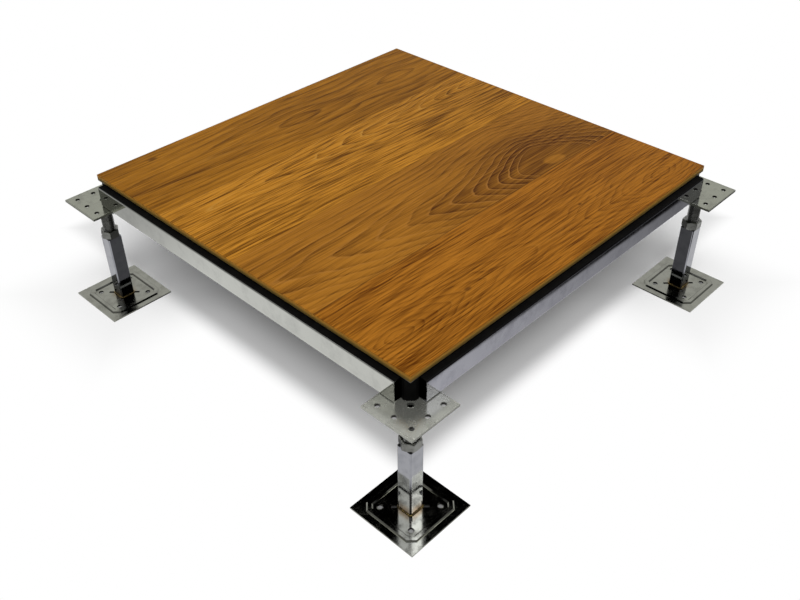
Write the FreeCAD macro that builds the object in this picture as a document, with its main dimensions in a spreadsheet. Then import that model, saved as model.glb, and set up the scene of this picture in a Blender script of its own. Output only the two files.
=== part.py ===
import FreeCAD, Part
import math
import os
import re

import Sketcher

# A 600 mm raised floor panel with wood boards, on four stringers and four screw pedestals.
# Origin: on the slab, under the panel's middle. X along the wood grain, Z up, millimetres.

SIZES = {
    # panel
    "panel_side": 600.0,
    "plank_thick": 8.0,
    "tongue_reach": 4.0,
    "tongue_thick": 2.4,
    "tongue_gap": 0.2,
    "top_sheet_thick": 1.0,
    "pan_sheet": 1.0,
    "pan_flange_inset": 2.0,
    "pan_side_gap": 3.0,
    "pan_lift": 1.0,
    "pan_draft": 12.0,
    "pan_corner": 20.0,
    "dimple_pitch": 108.0,
    "dimple_low": 66.0,
    "dimple_top": 40.0,
    "foot_end_gap": 1.5,
    "foot_inset": 0.5,
    "foot_chamfer": 8.0,
    # stringers
    "stringer_wide": 20.0,
    "stringer_tall": 30.0,
    "stringer_wall": 1.0,
    "stringer_corner": 2.0,
    "stringer_setback": 15.0,
    "gasket_thick": 0.5,
    "gasket_inset": 1.6,
    # pedestal head
    "head_side": 75.0,
    "head_thick": 3.0,
    "head_hole_pitch": 25.0,
    "head_hole_radius": 3.0,
    "head_bore_radius": 4.0,
    "stud_radius": 8.75,
    "stud_exposed": 45.0,
    "stud_below_nut": 46.0,
    # levelling nut
    "nut_flats": 24.0,
    "nut_height": 13.0,
    "nut_bevel": 1.0,
    "thread_gap": 0.05,
    # pedestal base
    "tube_side": 21.5,
    "tube_wall": 1.5,
    "tube_corner": 2.0,
    "tube_length": 104.0,
    "base_side": 100.0,
    "base_sheet": 2.0,
    "base_hole_pitch": 50.0,
    "base_hole_radius": 3.3,
    "rib_reach": 41.0,
    "rib_wide": 8.0,
    "rib_rise": 2.0,
    "rib_bevel": 1.6,
    "rib_corner": 9.0,
    "vent_wide": 4.0,
    "vent_gap": 0.4,
    "vent_length": 8.0,
}

PLANK_COUNT = 4
DIMPLE_ROWS = 5
HEX_SIDES = 6

# Heights above the slab, each one built on the one below it.
TUBE_TOP = "(base_sheet + tube_length)"
NUT_TOP = f"({TUBE_TOP} + nut_height)"
HEAD_BOTTOM = f"({NUT_TOP} + stud_exposed)"
HEAD_TOP = f"({HEAD_BOTTOM} + head_thick)"
STRINGER_TOP = f"({HEAD_TOP} + stringer_tall)"
GASKET_TOP = f"({STRINGER_TOP} + gasket_thick)"
SHEET_BOTTOM = f"({GASKET_TOP} + pan_sheet)"
SHEET_TOP = f"({SHEET_BOTTOM} + top_sheet_thick)"

HALF_PANEL = "(panel_side / 2)"
STRINGER_LENGTH = "(panel_side - 2 * stringer_setback)"

# Pedestals stand under the panel's corners.
CORNERS = {
    "front_left": (-1, -1),
    "front_right": (1, -1),
    "back_left": (-1, 1),
    "back_right": (1, 1),
}
# Stringers lie under the panel's edges: side of the panel (x, y) and turn about Z.
EDGES = {
    "front": (0, -1, 0),
    "back": (0, 1, 0),
    "left": (-1, 0, 90),
    "right": (1, 0, 90),
}

# A head plate's free holes, in steps outwards from the stud along X and Y.
FREE_HOLES = ((1, -1), (1, 0), (1, 1), (0, 1), (-1, 1))

doc = FreeCAD.newDocument("AccessFloorPanel")
sheet = doc.addObject("Spreadsheet::Sheet", "Sizes")
for row, (alias, value) in enumerate(SIZES.items(), start=1):
    sheet.set(f"A{row}", alias)
    sheet.set(f"B{row}", str(value))
    sheet.setAlias(f"B{row}", alias)
doc.recompute()

subparts = []


def sized(text):
    """The expression with each size's name turned into its cell."""
    return re.sub(r"[a-z_]+", lambda w: f"Sizes.{w[0]}" if w[0] in SIZES else w[0], text)


def bind(thing, **expressions):
    """Bind properties to expressions; a double underscore stands for a dot in the property's path."""
    for path, text in expressions.items():
        thing.setExpression(path.replace("__", "."), sized(text))


def place(thing, x="0", y="0", z="0", turn=0.0):
    thing.Placement = FreeCAD.Placement(
        FreeCAD.Vector(), FreeCAD.Rotation(FreeCAD.Vector(0, 0, 1), turn)
    )
    bind(thing, Placement__Base__x=x, Placement__Base__y=y, Placement__Base__z=z)


def subpart(thing, label):
    thing.Label = label
    subparts.append(thing)
    return thing


def primitive(kind, name, **expressions):
    thing = doc.addObject(f"Part::{kind}", name)
    bind(thing, **expressions)
    return thing


def cut(name, base, tool):
    thing = doc.addObject("Part::Cut", name)
    thing.Base = base
    thing.Tool = tool
    return thing


def fuse(name, shapes):
    thing = doc.addObject("Part::MultiFuse", name)
    thing.Shapes = shapes
    return thing


def new_body(name):
    return doc.addObject("PartDesign::Body", name)


def new_sketch(body, name, role="XY_Plane", lift="0", turn=0.0):
    """A sketch on one of the body's origin planes, lifted along the plane's normal and turned on it."""
    sketch = body.newObject("Sketcher::SketchObject", f"{body.Name}_{name}")
    support = next(p for p in body.Origin.OriginFeatures if p.Role == role)
    sketch.AttachmentSupport = [(support, "")]
    sketch.MapMode = "FlatFace"
    sketch.AttachmentOffset = FreeCAD.Placement(
        FreeCAD.Vector(), FreeCAD.Rotation(FreeCAD.Vector(0, 0, 1), turn)
    )
    bind(sketch, AttachmentOffset__Base__z=lift)
    return sketch


def pin_point(sketch, geometry, point, x, y):
    """Dimension a point from the sketch's origin."""
    for kind, text in (("DistanceX", x), ("DistanceY", y)):
        index = sketch.addConstraint(Sketcher.Constraint(kind, -1, 1, geometry, point, 1.0))
        sketch.setExpression(f"Constraints[{index}]", sized(text))


def polygon(sketch, corners):
    """A closed outline through corners given as (x, y) expressions."""
    count = len(corners)
    first = sketch.GeometryCount
    turns = [2 * math.pi * i / count for i in range(count)]
    points = [FreeCAD.Vector(math.cos(a), math.sin(a), 0) for a in turns]
    for i in range(count):
        sketch.addGeometry(Part.LineSegment(points[i], points[(i + 1) % count]))
    for i in range(count):
        after = first + (i + 1) % count
        sketch.addConstraint(Sketcher.Constraint("Coincident", first + i, 2, after, 1))
    for i, (x, y) in enumerate(corners):
        pin_point(sketch, first + i, 1, x, y)


def rectangle(sketch, half_x, half_y):
    polygon(
        sketch,
        [
            (f"-({half_x})", f"-({half_y})"),
            (half_x, f"-({half_y})"),
            (half_x, half_y),
            (f"-({half_x})", half_y),
        ],
    )


def octagon(sketch, half, corner):
    """A square outline whose corners are cut off by the length corner along each side."""
    near = f"(({half}) - ({corner}))"
    polygon(
        sketch,
        [
            (f"-{near}", f"-({half})"),
            (near, f"-({half})"),
            (half, f"-{near}"),
            (half, near),
            (near, half),
            (f"-{near}", half),
            (f"-({half})", near),
            (f"-({half})", f"-{near}"),
        ],
    )


def circle(sketch, x, y, radius):
    geometry = sketch.addGeometry(
        Part.Circle(FreeCAD.Vector(), FreeCAD.Vector(0, 0, 1), 1.0)
    )
    pin_point(sketch, geometry, 3, x, y)
    index = sketch.addConstraint(Sketcher.Constraint("Radius", geometry, 1.0))
    sketch.setExpression(f"Constraints[{index}]", sized(radius))


def extrude(body, kind, sketch, length, reverse=False, both=False):
    """A Pad or a Pocket of the sketch."""
    feature = body.newObject(f"PartDesign::{kind}", f"{sketch.Name}_{kind.lower()}")
    feature.Profile = sketch
    feature.SideType = "Symmetric" if both else "One side"
    feature.Reversed = reverse
    bind(feature, Length=length)
    return feature


def edge_names(shape, wanted):
    """Names of the edges that pass a test of their middle point and direction."""
    names = []
    for number, edge in enumerate(shape.Edges, start=1):
        middle = edge.CenterOfMass
        along = edge.tangentAt(edge.FirstParameter)
        if wanted(middle, along):
            names.append(f"Edge{number}")
    return names


def dress_edges(body, kind, base, wanted, **size):
    """A Fillet or a Chamfer on the base feature's edges that pass the test."""
    doc.recompute()
    feature = body.newObject(f"PartDesign::{kind}", f"{base.Name}_{kind.lower()}")
    feature.Base = (base, edge_names(base.Shape, wanted))
    bind(feature, **size)
    return feature


def runs_along(direction):
    return lambda middle, along: abs(along.dot(direction)) > 0.9


def wedge(body, name, kind, middle, low, low_half, high, high_half):
    """A square frustum that stands on the body's XY plane, added or taken away."""
    feature = body.newObject(f"PartDesign::{kind}Wedge", f"{body.Name}_{name}")
    support = next(p for p in body.Origin.OriginFeatures if p.Role == "XZ_Plane")
    feature.AttachmentSupport = [(support, "")]
    feature.MapMode = "FlatFace"
    bind(
        feature,
        Xmin=f"{middle} - ({low_half})", Xmax=f"{middle} + ({low_half})",
        Zmin=f"-({middle}) - ({low_half})", Zmax=f"-({middle}) + ({low_half})",
        X2min=f"{middle} - ({high_half})", X2max=f"{middle} + ({high_half})",
        Z2min=f"-({middle}) - ({high_half})", Z2max=f"-({middle}) + ({high_half})",
        Ymin=low, Ymax=high,
    )
    return feature


def hexagon(sketch, flats):
    """A regular hexagon, given its width across flats."""
    polygon(
        sketch,
        [
            (f"{flats} / sqrt(3) * cos({turn})", f"{flats} / sqrt(3) * sin({turn})")
            for turn in range(0, 360, 360 // HEX_SIDES)
        ],
    )


UP = FreeCAD.Vector(0, 0, 1)
ALONG = FreeCAD.Vector(1, 0, 0)


def on_top_of(feature):
    """A test for edges that lie on the feature's highest level."""
    doc.recompute()
    top = feature.Shape.BoundBox.ZMax
    return lambda middle, along: middle.z > top - 0.01


def make_base_plate(corner, side_x, side_y):
    """Pressed plate: a rib of even sheet thickness runs around it, hollow underneath."""
    body = new_body(f"base_plate_{corner}")
    outline = new_sketch(body, "outline")
    rectangle(outline, "base_side / 2", "base_side / 2")
    extrude(body, "Pad", outline, "base_sheet")
    rib = new_sketch(body, "rib", lift="base_sheet")
    groove = new_sketch(body, "groove")
    for outline, inset in ((rib, "0"), (groove, "base_sheet")):
        outer = f"(rib_reach - {inset})"
        inner = f"(rib_reach - rib_wide + {inset})"
        for half in (outer, inner):
            octagon(outline, half, f"rib_corner - (rib_reach - {half}) * (2 - sqrt(2))")
    ridge = extrude(body, "Pad", rib, "rib_rise")
    dress_edges(body, "Chamfer", ridge, on_top_of(ridge), Size="rib_bevel")
    extrude(body, "Pocket", groove, "rib_rise", reverse=True)
    holes = new_sketch(body, "holes")
    for x, y in CORNERS.values():
        circle(holes, f"{x} * base_hole_pitch / 2", f"{y} * base_hole_pitch / 2", "base_hole_radius")
    extrude(body, "Pocket", holes, "base_sheet", reverse=True)
    vents = new_sketch(body, "vents", turn=45)
    start = "((tube_side / 2 - tube_corner) * sqrt(2) + tube_corner + vent_gap)"
    end = f"({start} + vent_length)"
    for x, y in ((1, 0), (0, 1), (-1, 0), (0, -1)):
        span = [(start, -1), (end, -1), (end, 1), (start, 1)]
        corners = [
            (f"{x} * {far} - {y} * {side} * vent_wide / 2", f"{y} * {far} + {x} * {side} * vent_wide / 2")
            for far, side in span
        ]
        polygon(vents, corners)
    extrude(body, "Pocket", vents, "base_sheet", reverse=True)
    place(body, f"{side_x} * {HALF_PANEL}", f"{side_y} * {HALF_PANEL}")
    return subpart(body, f"base_plate_{corner}")


def make_base_tube(corner, side_x, side_y):
    body = new_body(f"base_tube_{corner}")
    outline = new_sketch(body, "outline")
    rectangle(outline, "tube_side / 2", "tube_side / 2")
    tube = extrude(body, "Pad", outline, "tube_length")
    dress_edges(body, "Fillet", tube, runs_along(UP), Radius="tube_corner")
    bore = new_sketch(body, "bore")
    rectangle(bore, "tube_side / 2 - tube_wall", "tube_side / 2 - tube_wall")
    extrude(body, "Pocket", bore, "tube_length", reverse=True)
    place(body, f"{side_x} * {HALF_PANEL}", f"{side_y} * {HALF_PANEL}", "base_sheet")
    return subpart(body, f"base_tube_{corner}")


def make_levelling_nut(corner, side_x, side_y):
    """Hexagon nut, bevelled at both ends, with a plain bore just clear of the stud."""
    body = new_body(f"levelling_nut_{corner}")
    outline = new_sketch(body, "outline")
    hexagon(outline, "nut_flats")
    block = extrude(body, "Pad", outline, "nut_height")
    dress_edges(body, "Chamfer", block, lambda middle, along: abs(along.z) < 0.1, Size="nut_bevel")
    bore = new_sketch(body, "bore")
    circle(bore, "0", "0", "stud_radius + thread_gap")
    extrude(body, "Pocket", bore, "nut_height", reverse=True)
    place(body, f"{side_x} * {HALF_PANEL}", f"{side_y} * {HALF_PANEL}", TUBE_TOP)
    return subpart(body, f"levelling_nut_{corner}")


def make_stud(corner, side_x, side_y):
    """Rod under the head plate that reaches through the nut into the tube."""
    body = new_body(f"stud_{corner}")
    outline = new_sketch(body, "outline")
    circle(outline, "0", "0", "stud_radius")
    extrude(body, "Pad", outline, "stud_exposed + nut_height + stud_below_nut", reverse=True)
    place(body, f"{side_x} * {HALF_PANEL}", f"{side_y} * {HALF_PANEL}", HEAD_BOTTOM)
    return subpart(body, f"stud_{corner}")


def make_head_plate(corner, side_x, side_y):
    """Square plate with a bore over the stud and free holes wherever no stringer or panel lies on it."""
    body = new_body(f"head_plate_{corner}")
    outline = new_sketch(body, "outline")
    rectangle(outline, "head_side / 2", "head_side / 2")
    extrude(body, "Pad", outline, "head_thick")
    holes = new_sketch(body, "holes")
    circle(holes, "0", "0", "head_bore_radius")
    for out_x, out_y in FREE_HOLES:
        x = f"{side_x * out_x} * head_hole_pitch"
        y = f"{side_y * out_y} * head_hole_pitch"
        circle(holes, x, y, "head_hole_radius")
    extrude(body, "Pocket", holes, "head_thick", reverse=True)
    place(body, f"{side_x} * {HALF_PANEL}", f"{side_y} * {HALF_PANEL}", HEAD_BOTTOM)
    return subpart(body, f"head_plate_{corner}")


def make_corner_foot(corner, side_x, side_y):
    """Block between two stringer ends that carries the panel's corner on the head plate."""
    body = new_body(f"corner_foot_{corner}")
    near = "foot_inset"
    cut_off = "(foot_inset + foot_chamfer)"
    far = "(stringer_setback - foot_end_gap)"
    inward = [(cut_off, near), (far, near), (far, far), (near, far), (near, cut_off)]
    outline = new_sketch(body, "outline")
    polygon(outline, [(f"{-side_x} * {u}", f"{-side_y} * {v}") for u, v in inward])
    extrude(body, "Pad", outline, "stringer_tall + gasket_thick")
    place(body, f"{side_x} * {HALF_PANEL}", f"{side_y} * {HALF_PANEL}", HEAD_TOP)
    return subpart(body, f"corner_foot_{corner}")


def make_stringer(edge, side_x, side_y, turn):
    """Box tube, open at the ends."""
    body = new_body(f"stringer_{edge}")
    wide, tall = "stringer_wide / 2", "stringer_tall"
    section = new_sketch(body, "section", role="YZ_Plane")
    polygon(section, [(f"-{wide}", "0"), (wide, "0"), (wide, tall), (f"-{wide}", tall)])
    tube = extrude(body, "Pad", section, STRINGER_LENGTH, both=True)
    dress_edges(body, "Fillet", tube, runs_along(ALONG), Radius="stringer_corner")
    inner_wide, inner_tall = f"({wide} - stringer_wall)", f"({tall} - stringer_wall)"
    inside = new_sketch(body, "inside", role="YZ_Plane")
    polygon(
        inside,
        [
            (f"-{inner_wide}", "stringer_wall"),
            (inner_wide, "stringer_wall"),
            (inner_wide, inner_tall),
            (f"-{inner_wide}", inner_tall),
        ],
    )
    extrude(body, "Pocket", inside, STRINGER_LENGTH, both=True)
    place(body, f"{side_x} * {HALF_PANEL}", f"{side_y} * {HALF_PANEL}", HEAD_TOP, turn)
    return subpart(body, f"stringer_{edge}")


def make_gasket(edge, side_x, side_y, turn):
    body = new_body(f"gasket_{edge}")
    outline = new_sketch(body, "outline")
    rectangle(outline, f"{STRINGER_LENGTH} / 2", "stringer_wide / 2 - gasket_inset")
    extrude(body, "Pad", outline, "gasket_thick")
    place(body, f"{side_x} * {HALF_PANEL}", f"{side_y} * {HALF_PANEL}", STRINGER_TOP, turn)
    return subpart(body, f"gasket_{edge}")


# The pan hangs from its flange between the stringers. Its own zero height is the flange's underside.
PAN_HALF = f"({HALF_PANEL} - stringer_wide / 2 - pan_side_gap)"
PAN_DEPTH = "(stringer_tall + gasket_thick - pan_lift)"
PAN_FLOOR = f"(pan_sheet - {PAN_DEPTH})"
PAN_NARROWING = f"({PAN_DEPTH} * tan(pan_draft))"
CORE_HALF = f"({PAN_HALF} - pan_sheet / cos(pan_draft) + pan_sheet * tan(pan_draft))"
DIMPLE_SLOPE = f"((dimple_low - dimple_top) / 2 / {PAN_DEPTH})"


def dimple_grid(body, low, low_half, high):
    """A square grid of tapered square hollows, narrower at the top."""
    reach = f"({(DIMPLE_ROWS - 1) / 2} * dimple_pitch)"
    high_half = f"{low_half} - {DIMPLE_SLOPE} * {PAN_DEPTH}"
    first = wedge(body, "dimple", "Subtractive", f"-{reach}", low, low_half, high, high_half)
    grid = body.newObject("PartDesign::LinearPattern", f"{body.Name}_dimples")
    grid.Originals = [first]
    axes = {axis.Role: axis for axis in body.Origin.OriginFeatures}
    grid.Direction = (axes["X_Axis"], "")
    grid.Direction2 = (axes["Y_Axis"], "")
    grid.Occurrences = DIMPLE_ROWS
    grid.Occurrences2 = DIMPLE_ROWS
    bind(grid, Length=f"2 * {reach}", Length2=f"2 * {reach}")
    body.Tip = grid


def make_cement_core():
    """Fill that takes up the pan around its dimples."""
    body = new_body("cement_core")
    low_half = f"{CORE_HALF} - {PAN_NARROWING}"
    block = wedge(body, "block", "Additive", "0", PAN_FLOOR, low_half, "pan_sheet", CORE_HALF)
    inner_corner = "pan_corner - pan_sheet * (2 - sqrt(2))"
    dress_edges(body, "Chamfer", block, runs_along(UP), Size=inner_corner)
    dimple_grid(body, PAN_FLOOR, "dimple_low / 2", "pan_sheet")
    place(body, z=GASKET_TOP)
    return subpart(body, "cement_core")


def make_bottom_pan(core):
    """Drawn pan of even sheet with a flange: the outer form with its dimples, less the fill."""
    body = new_body("pan_block")
    low_half = f"{PAN_HALF} - {PAN_NARROWING}"
    block = wedge(body, "block", "Additive", "0", f"-{PAN_DEPTH}", low_half, "0", PAN_HALF)
    dress_edges(body, "Chamfer", block, runs_along(UP), Size="pan_corner")
    flange = new_sketch(body, "flange")
    octagon(flange, f"{HALF_PANEL} - pan_flange_inset", "pan_flange_inset")
    extrude(body, "Pad", flange, "pan_sheet")
    wall = f"pan_sheet * sqrt(1 + {DIMPLE_SLOPE} ^ 2)"
    hollow_half = f"(dimple_low / 2 + {DIMPLE_SLOPE} * pan_sheet - {wall})"
    dimple_grid(body, f"-{PAN_DEPTH}", hollow_half, "0")
    place(body, z=GASKET_TOP)
    return subpart(cut("bottom_pan", body, core), "bottom_pan")


def make_top_sheet():
    body = new_body("top_sheet")
    outline = new_sketch(body, "outline")
    rectangle(outline, HALF_PANEL, HALF_PANEL)
    extrude(body, "Pad", outline, "top_sheet_thick")
    place(body, z=SHEET_BOTTOM)
    return subpart(body, "top_sheet")


def make_plank(number):
    """Wood board along X: a tongue on its back edge and a groove in its front edge, but none outside."""
    wide = f"(panel_side / {PLANK_COUNT})"
    middle = "plank_thick / 2"
    board = primitive(
        "Box", f"plank_{number}_board", Length="panel_side", Width=wide, Height="plank_thick"
    )
    shape = board
    if number < PLANK_COUNT:
        tongue = primitive(
            "Box", f"plank_{number}_tongue",
            Length="panel_side", Width="tongue_reach", Height="tongue_thick",
            Placement__Base__y=wide, Placement__Base__z=f"{middle} - tongue_thick / 2",
        )
        shape = fuse(f"plank_{number}_tongued", [shape, tongue])
    if number > 1:
        groove = primitive(
            "Box", f"plank_{number}_groove",
            Length="panel_side", Width="tongue_reach + tongue_gap",
            Height="tongue_thick + 2 * tongue_gap",
            Placement__Base__z=f"{middle} - tongue_thick / 2 - tongue_gap",
        )
        shape = cut(f"plank_{number}_grooved", shape, groove)
    place(shape, f"-{HALF_PANEL}", f"{number - 1} * {wide} - {HALF_PANEL}", SHEET_TOP)
    return subpart(shape, f"plank_{number}")


for corner, (x, y) in CORNERS.items():
    make_base_plate(corner, x, y)
    make_base_tube(corner, x, y)
    make_levelling_nut(corner, x, y)
    make_stud(corner, x, y)
    make_head_plate(corner, x, y)
    make_corner_foot(corner, x, y)
for edge, (x, y, turn) in EDGES.items():
    make_stringer(edge, x, y, turn)
    make_gasket(edge, x, y, turn)
make_bottom_pan(make_cement_core())
make_top_sheet()
for number in range(1, PLANK_COUNT + 1):
    make_plank(number)

doc.recompute()
for thing in doc.Objects:
    if "Invalid" in thing.State or "Error" in thing.State:
        raise RuntimeError(f"{thing.Label} failed: {thing.State}")
for thing in subparts:
    if thing.Shape.isNull() or not thing.Shape.isValid():
        raise RuntimeError(f"{thing.Label} has no valid shape")

os.makedirs("parts", exist_ok=True)
for thing in subparts:
    thing.Shape.exportStep(f"parts/{thing.Label}.step")
    print(thing.Label, len(thing.Shape.Solids), round(thing.Shape.Volume, 1))
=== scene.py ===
import math

import bmesh
import bpy
import numpy as np
from mathutils import Matrix, Vector


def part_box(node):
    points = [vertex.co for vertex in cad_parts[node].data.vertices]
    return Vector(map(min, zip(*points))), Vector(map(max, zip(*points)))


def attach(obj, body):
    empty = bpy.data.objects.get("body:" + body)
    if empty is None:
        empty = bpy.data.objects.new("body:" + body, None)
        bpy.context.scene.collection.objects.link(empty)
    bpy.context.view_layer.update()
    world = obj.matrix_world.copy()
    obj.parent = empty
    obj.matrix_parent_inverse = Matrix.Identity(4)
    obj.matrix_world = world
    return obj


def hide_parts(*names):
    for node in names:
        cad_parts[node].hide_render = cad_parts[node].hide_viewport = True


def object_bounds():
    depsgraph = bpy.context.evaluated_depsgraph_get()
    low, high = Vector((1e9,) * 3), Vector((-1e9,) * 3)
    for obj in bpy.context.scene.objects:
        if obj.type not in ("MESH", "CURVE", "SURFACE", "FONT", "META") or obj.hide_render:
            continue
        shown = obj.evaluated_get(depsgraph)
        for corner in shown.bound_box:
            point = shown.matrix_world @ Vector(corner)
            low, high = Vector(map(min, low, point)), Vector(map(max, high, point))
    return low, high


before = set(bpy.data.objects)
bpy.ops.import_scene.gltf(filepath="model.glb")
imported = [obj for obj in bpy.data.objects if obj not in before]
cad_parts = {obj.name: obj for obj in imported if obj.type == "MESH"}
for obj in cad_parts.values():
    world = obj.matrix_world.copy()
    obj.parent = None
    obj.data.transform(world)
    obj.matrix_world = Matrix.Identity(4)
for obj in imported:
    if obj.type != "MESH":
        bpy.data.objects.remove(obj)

cadLow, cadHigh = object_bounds()
corners = ("front_left", "front_right", "back_left", "back_right")
sides = ("front", "back", "left", "right")
mm = 0.001
fullTurn = 2 * math.pi


def middle(node):
    low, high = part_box(node)
    return (low + high) / 2


# 0-255 screen colour to the linear colour that a socket takes
def screen(red, green, blue):
    shade = np.array([red, green, blue]) / 255
    straight = np.where(shade <= 0.04045, shade / 12.92, ((shade + 0.055) / 1.055) ** 2.4)
    return (*straight.tolist(), 1.0)


def grey(level):
    return (level, level, level, 1.0)


# Quads of a grid of points. Columns always run round and close; in a ring the rows do too
def gridFaces(rows, columns, ring):
    index = np.arange(rows * columns).reshape(rows, columns)
    index = np.concatenate([index, index[:, :1]], axis=1)
    if ring:
        index = np.concatenate([index, index[:1]], axis=0)
    return np.stack([index[:-1, :-1], index[:-1, 1:], index[1:, 1:], index[1:, :-1]], axis=-1).reshape(-1, 4)


# One piece from grids of equal shape: rows x columns x 3, in mm
def buildPiece(name, grids, body, material, ring=False, sharpAt=38):
    rows, columns = grids[0].shape[:2]
    faces = gridFaces(rows, columns, ring)
    starts = np.arange(len(grids)) * rows * columns
    allFaces = (faces[None] + starts[:, None, None]).reshape(-1, 4)
    points = np.stack(grids).reshape(-1, 3) * mm
    mesh = bpy.data.meshes.new(name)
    mesh.vertices.add(len(points))
    mesh.vertices.foreach_set("co", points.ravel())
    mesh.loops.add(allFaces.size)
    mesh.loops.foreach_set("vertex_index", allFaces.ravel())
    mesh.polygons.add(len(allFaces))
    mesh.polygons.foreach_set("loop_start", np.arange(len(allFaces)) * 4)
    mesh.update(calc_edges=True)
    work = bmesh.new()
    work.from_mesh(mesh)
    bmesh.ops.remove_doubles(work, verts=work.verts, dist=1e-7)   # poles close here
    bmesh.ops.recalc_face_normals(work, faces=work.faces)
    work.to_mesh(mesh)
    work.free()
    mesh.shade_smooth()
    mesh.set_sharp_from_angle(angle=math.radians(sharpAt))
    mesh.materials.append(material)
    piece = bpy.data.objects.new(name, mesh)
    bpy.context.scene.collection.objects.link(piece)
    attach(piece, body)
    return piece


# Even steps once round, as a row of angles
def roundSteps(count):
    return np.arange(count) / count * fullTurn


# x = centre + radius cos(angle), y = centre + radius sin(angle), z = height
def roundGrid(centre, radius, height, angle):
    radius, height, angle = np.broadcast_arrays(radius, height, angle)
    return np.stack([centre[0] + radius * np.cos(angle), centre[1] + radius * np.sin(angle), height], axis=-1)


# A new shader node: sockets among the values are linked, plain values are set
def put(tree, kind, values=None, **settings):
    node = tree.nodes.new(kind)
    for name, value in settings.items():
        setattr(node, name, value)
    for socket, value in (values or {}).items():
        if isinstance(value, bpy.types.NodeSocket):
            tree.links.new(value, node.inputs[socket])
        else:
            node.inputs[socket].default_value = value
    return node


def sums(tree, operation, *values):
    return put(tree, "ShaderNodeMath", dict(enumerate(values)), operation=operation).outputs[0]


# |value - origin|
def awayFrom(tree, value, origin):
    return sums(tree, "ABSOLUTE", sums(tree, "SUBTRACT", value, origin))


# Square root of x squared plus y squared
def distance(tree, x, y):
    return sums(tree, "SQRT", sums(tree, "MULTIPLY_ADD", x, x, sums(tree, "MULTIPLY", y, y)))


# Smooth step of a value from one range into another
def between(tree, value, low, high, toLow=0.0, toHigh=1.0):
    ends = {"Value": value, "From Min": low, "From Max": high, "To Min": toLow, "To Max": toHigh}
    return put(tree, "ShaderNodeMapRange", ends, interpolation_type="SMOOTHSTEP").outputs[0]


def mixValue(tree, factor, first, second):
    return put(tree, "ShaderNodeMix", {0: factor, 2: first, 3: second}).outputs[0]


def mixColour(tree, factor, first, second):
    return put(tree, "ShaderNodeMix", {0: factor, 6: first, 7: second}, data_type="RGBA").outputs[2]


def noise(tree, vector, scale=1.0, detail=2.0, rough=0.5):
    return put(tree, "ShaderNodeTexNoise", {"Vector": vector, "Scale": scale, "Detail": detail,
                                            "Roughness": rough}).outputs[0]


def axesOf(tree, vector):
    return put(tree, "ShaderNodeSeparateXYZ", {0: vector}).outputs


# Axes folded into one quarter, where the four pedestals lie on one spot
def foldedAxes(tree, place):
    return axesOf(tree, put(tree, "ShaderNodeVectorMath", {0: place}, operation="ABSOLUTE").outputs[0])


def newGroup(name, inputs, outputs):
    tree = bpy.data.node_groups.new(name, "ShaderNodeTree")
    tree.interface.new_socket(name="Vector", in_out="INPUT", socket_type="NodeSocketVector")
    for title in inputs:
        tree.interface.new_socket(name=title, in_out="INPUT", socket_type="NodeSocketFloat")
    for title in outputs:
        tree.interface.new_socket(name=title, in_out="OUTPUT", socket_type="NodeSocketFloat")
    return tree, put(tree, "NodeGroupInput").outputs, put(tree, "NodeGroupOutput").inputs


# A group node in a material, on the piece's own coordinates
def useGroup(tree, group, place, values):
    return put(tree, "ShaderNodeGroup", {"Vector": place, **values}, node_tree=group).outputs


def newMaterial(name, **fixed):
    material = bpy.data.materials.new(name)
    material.use_nodes = True
    tree = material.node_tree
    shader = tree.nodes["Principled BSDF"]
    for socket, value in fixed.items():
        shader.inputs[socket].default_value = value
    return material, tree, shader.inputs, put(tree, "ShaderNodeTexCoord").outputs["Object"]


def addBump(tree, shader, height, strength, deep):
    bump = put(tree, "ShaderNodeBump", {"Height": height, "Strength": strength, "Distance": deep})
    tree.links.new(bump.outputs[0], shader["Normal"])


def dress(material, *names):
    for name in names:
        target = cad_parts[name]
        target.data.materials.clear()
        target.data.materials.append(material)


# Oak: growth rings cut by the board's face, fibre streaks, pores and broad patches of tone.
# Noises are stretched: waves a metre along and across the grain, and a shift that tells them apart. late is
# how dark a ring is from its start to its end
oakForm = {
    "archPower": 1.55,                                          # 1 makes sharp arrow heads, 2 round arches
    "drift": (5.0, 9.0, 0.0), "driftWide": 0.022, "shiver": (22.0, 70.0, 3.0), "shiverWide": 0.0030,
    "roam": (9.0, 0.0, 7.0), "ripple": (7.0, 60.0, 11.0),
    "late": ((0.0, 0.90), (0.07, 0.14), (0.28, 0.0), (0.66, 0.36), (0.93, 1.0), (1.0, 0.90)),
    "early": (0.03, 0.22), "weakest": 0.3, "plainAt": -0.5,
    "streaks": (((5.0, 120.0, 23.0), 2.0, 0.5, 0.20),           # scales, detail, roughness and share
                ((12.0, 330.0, 17.0), 2.0, 0.6, 0.45), ((16.0, 720.0, 19.0), 1.0, 0.5, 0.35)),
    "pores": (70.0, 1300.0, 31.0), "poreEdge": (0.54, 0.68), "poreLeast": 0.25,
    "threads": ((5.0, 400.0, 53.0), 3.0, 0.7), "threadEdge": (0.56, 0.66), "threadShare": 0.8,
    "patch": (3.2, 11.0, 41.0), "heartReach": (0.045, 0.125), "coreReach": (0.0070, 0.0112), "coreLong": 0.5,
    "gloss": 0.03, "rough": (0.36, 0.18), "bump": 0.12, "bumpDeep": 0.0004, "glintLeast": 0.45,
    "poreTone": (70, 37, 6), "poreShare": 0.5, "knotTone": (66, 34, 10), "knotLong": 1.8,
    "knotEdge": (0.45, 1.25), "knotRagged": 0.6, "seamTone": (70, 44, 18), "seamEdge": (0.0002, 0.0016),
    "edgeDeep": (0.0010, 0.0003), "edgeTone": (170, 122, 48), "backingDeep": (0.0050, 0.0036),
    "backingTone": (112, 94, 50), "edgeStreak": (116, 86, 36), "edgeShare": 0.5}


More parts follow.
